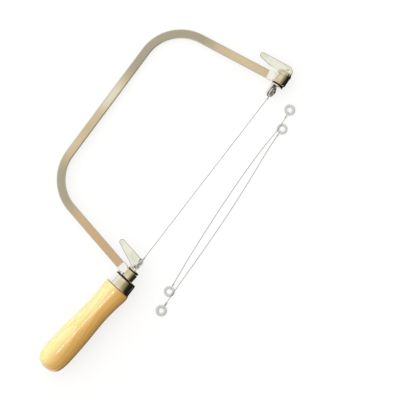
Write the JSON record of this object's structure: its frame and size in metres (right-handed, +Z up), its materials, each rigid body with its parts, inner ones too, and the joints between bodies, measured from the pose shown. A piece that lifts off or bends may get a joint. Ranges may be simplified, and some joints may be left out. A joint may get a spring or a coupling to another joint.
{
  "type": "soap cutter",
  "caption": "Bow-frame wire soap cutter with a turned wooden handle that tensions the wire, levered end pins and spare wires beside it",
  "frame": {"origin": "middle of the base of the cutter as it lies on a table, without the spare wires", "axes": "+X along the cutting wire from the handle to the far end, +Y towards the back of the bow, +Z up"},
  "size_m": [0.3292, 0.1541, 0.0261],
  "materials": {
    "bow_nickel": "satin nickel plating on rolled flat bar",
    "hardware_nickel": "bright nickel plating on turned steel",
    "lever_nickel": "bright nickel plating on stamped steel",
    "ferrule_nickel": "polished nickel plating on drawn steel",
    "ring_zinc": "dull zinc plating",
    "wire_steel": "drawn stainless wire",
    "nut_steel": "plain steel",
    "grip_wood": "clear gloss varnish on pale wood"
  },
  "bodies": {
    "frame": {"bow_bar": "bow_nickel", "near_eye": "hardware_nickel", "far_eye": "hardware_nickel", "cutting_wire": "wire_steel"},
    "far_holder": {"far_pin": "hardware_nickel", "far_lever": "lever_nickel", "far_lever_rivet": "lever_nickel", "far_wire_button": "hardware_nickel", "far_ring": "ring_zinc", "far_thrust_washer": "hardware_nickel", "far_cap": "hardware_nickel"},
    "near_slider": {"near_thrust_washer": "hardware_nickel"},
    "near_holder": {"near_pin": "hardware_nickel", "near_lever": "lever_nickel", "near_lever_rivet": "lever_nickel", "near_wire_button": "hardware_nickel", "near_ring": "ring_zinc"},
    "handle": {"handle_grip": "grip_wood", "handle_ferrule": "ferrule_nickel", "handle_front_washer": "hardware_nickel", "handle_nut": "nut_steel"},
    "spare_wire_a": {"spare_wire_a": "wire_steel", "spare_ring_a_near": "ring_zinc", "spare_ring_a_far": "ring_zinc"},
    "spare_wire_b": {"spare_wire_b": "wire_steel", "spare_ring_b_near": "ring_zinc", "spare_ring_b_far": "ring_zinc"}
  },
  "joints": [
    {"name": "far_holder_turn", "type": "hinge", "parent": "frame", "child": "far_holder", "pos_m": [0.13898, -0.05063, 0.00695], "axis": [0.9972, 0.0696, -0.0285], "continuous": true},
    {"name": "handle_turn", "type": "hinge", "parent": "frame", "child": "handle", "pos_m": [-0.04796, -0.05063, 0.01156], "axis": [-0.9959, 0.0888, 0.0196], "range_deg": [0, 1800]},
    {"name": "near_tension", "type": "slide", "parent": "frame", "child": "near_slider", "axis": [0.9959, -0.0888, -0.0196], "range_m": [0, 0.0051], "deforming": ["cutting_wire"]},
    {"name": "near_holder_turn", "type": "hinge", "parent": "near_slider", "child": "near_holder", "pos_m": [-0.04796, -0.05063, 0.01156], "axis": [-0.9959, 0.0888, 0.0196], "continuous": true},
    {"name": "spare_wire_a_lift", "type": "slide", "parent": "frame", "child": "spare_wire_a", "axis": [0, 0, 1], "range_m": [0, 0.1]},
    {"name": "spare_wire_b_lift", "type": "slide", "parent": "frame", "child": "spare_wire_b", "axis": [0, 0, 1], "range_m": [0, 0.1]}
  ],
  "couplings": [
    {"joint": "near_tension", "follows": "handle_turn", "m_per_rad": 0.00015915}
  ]
}
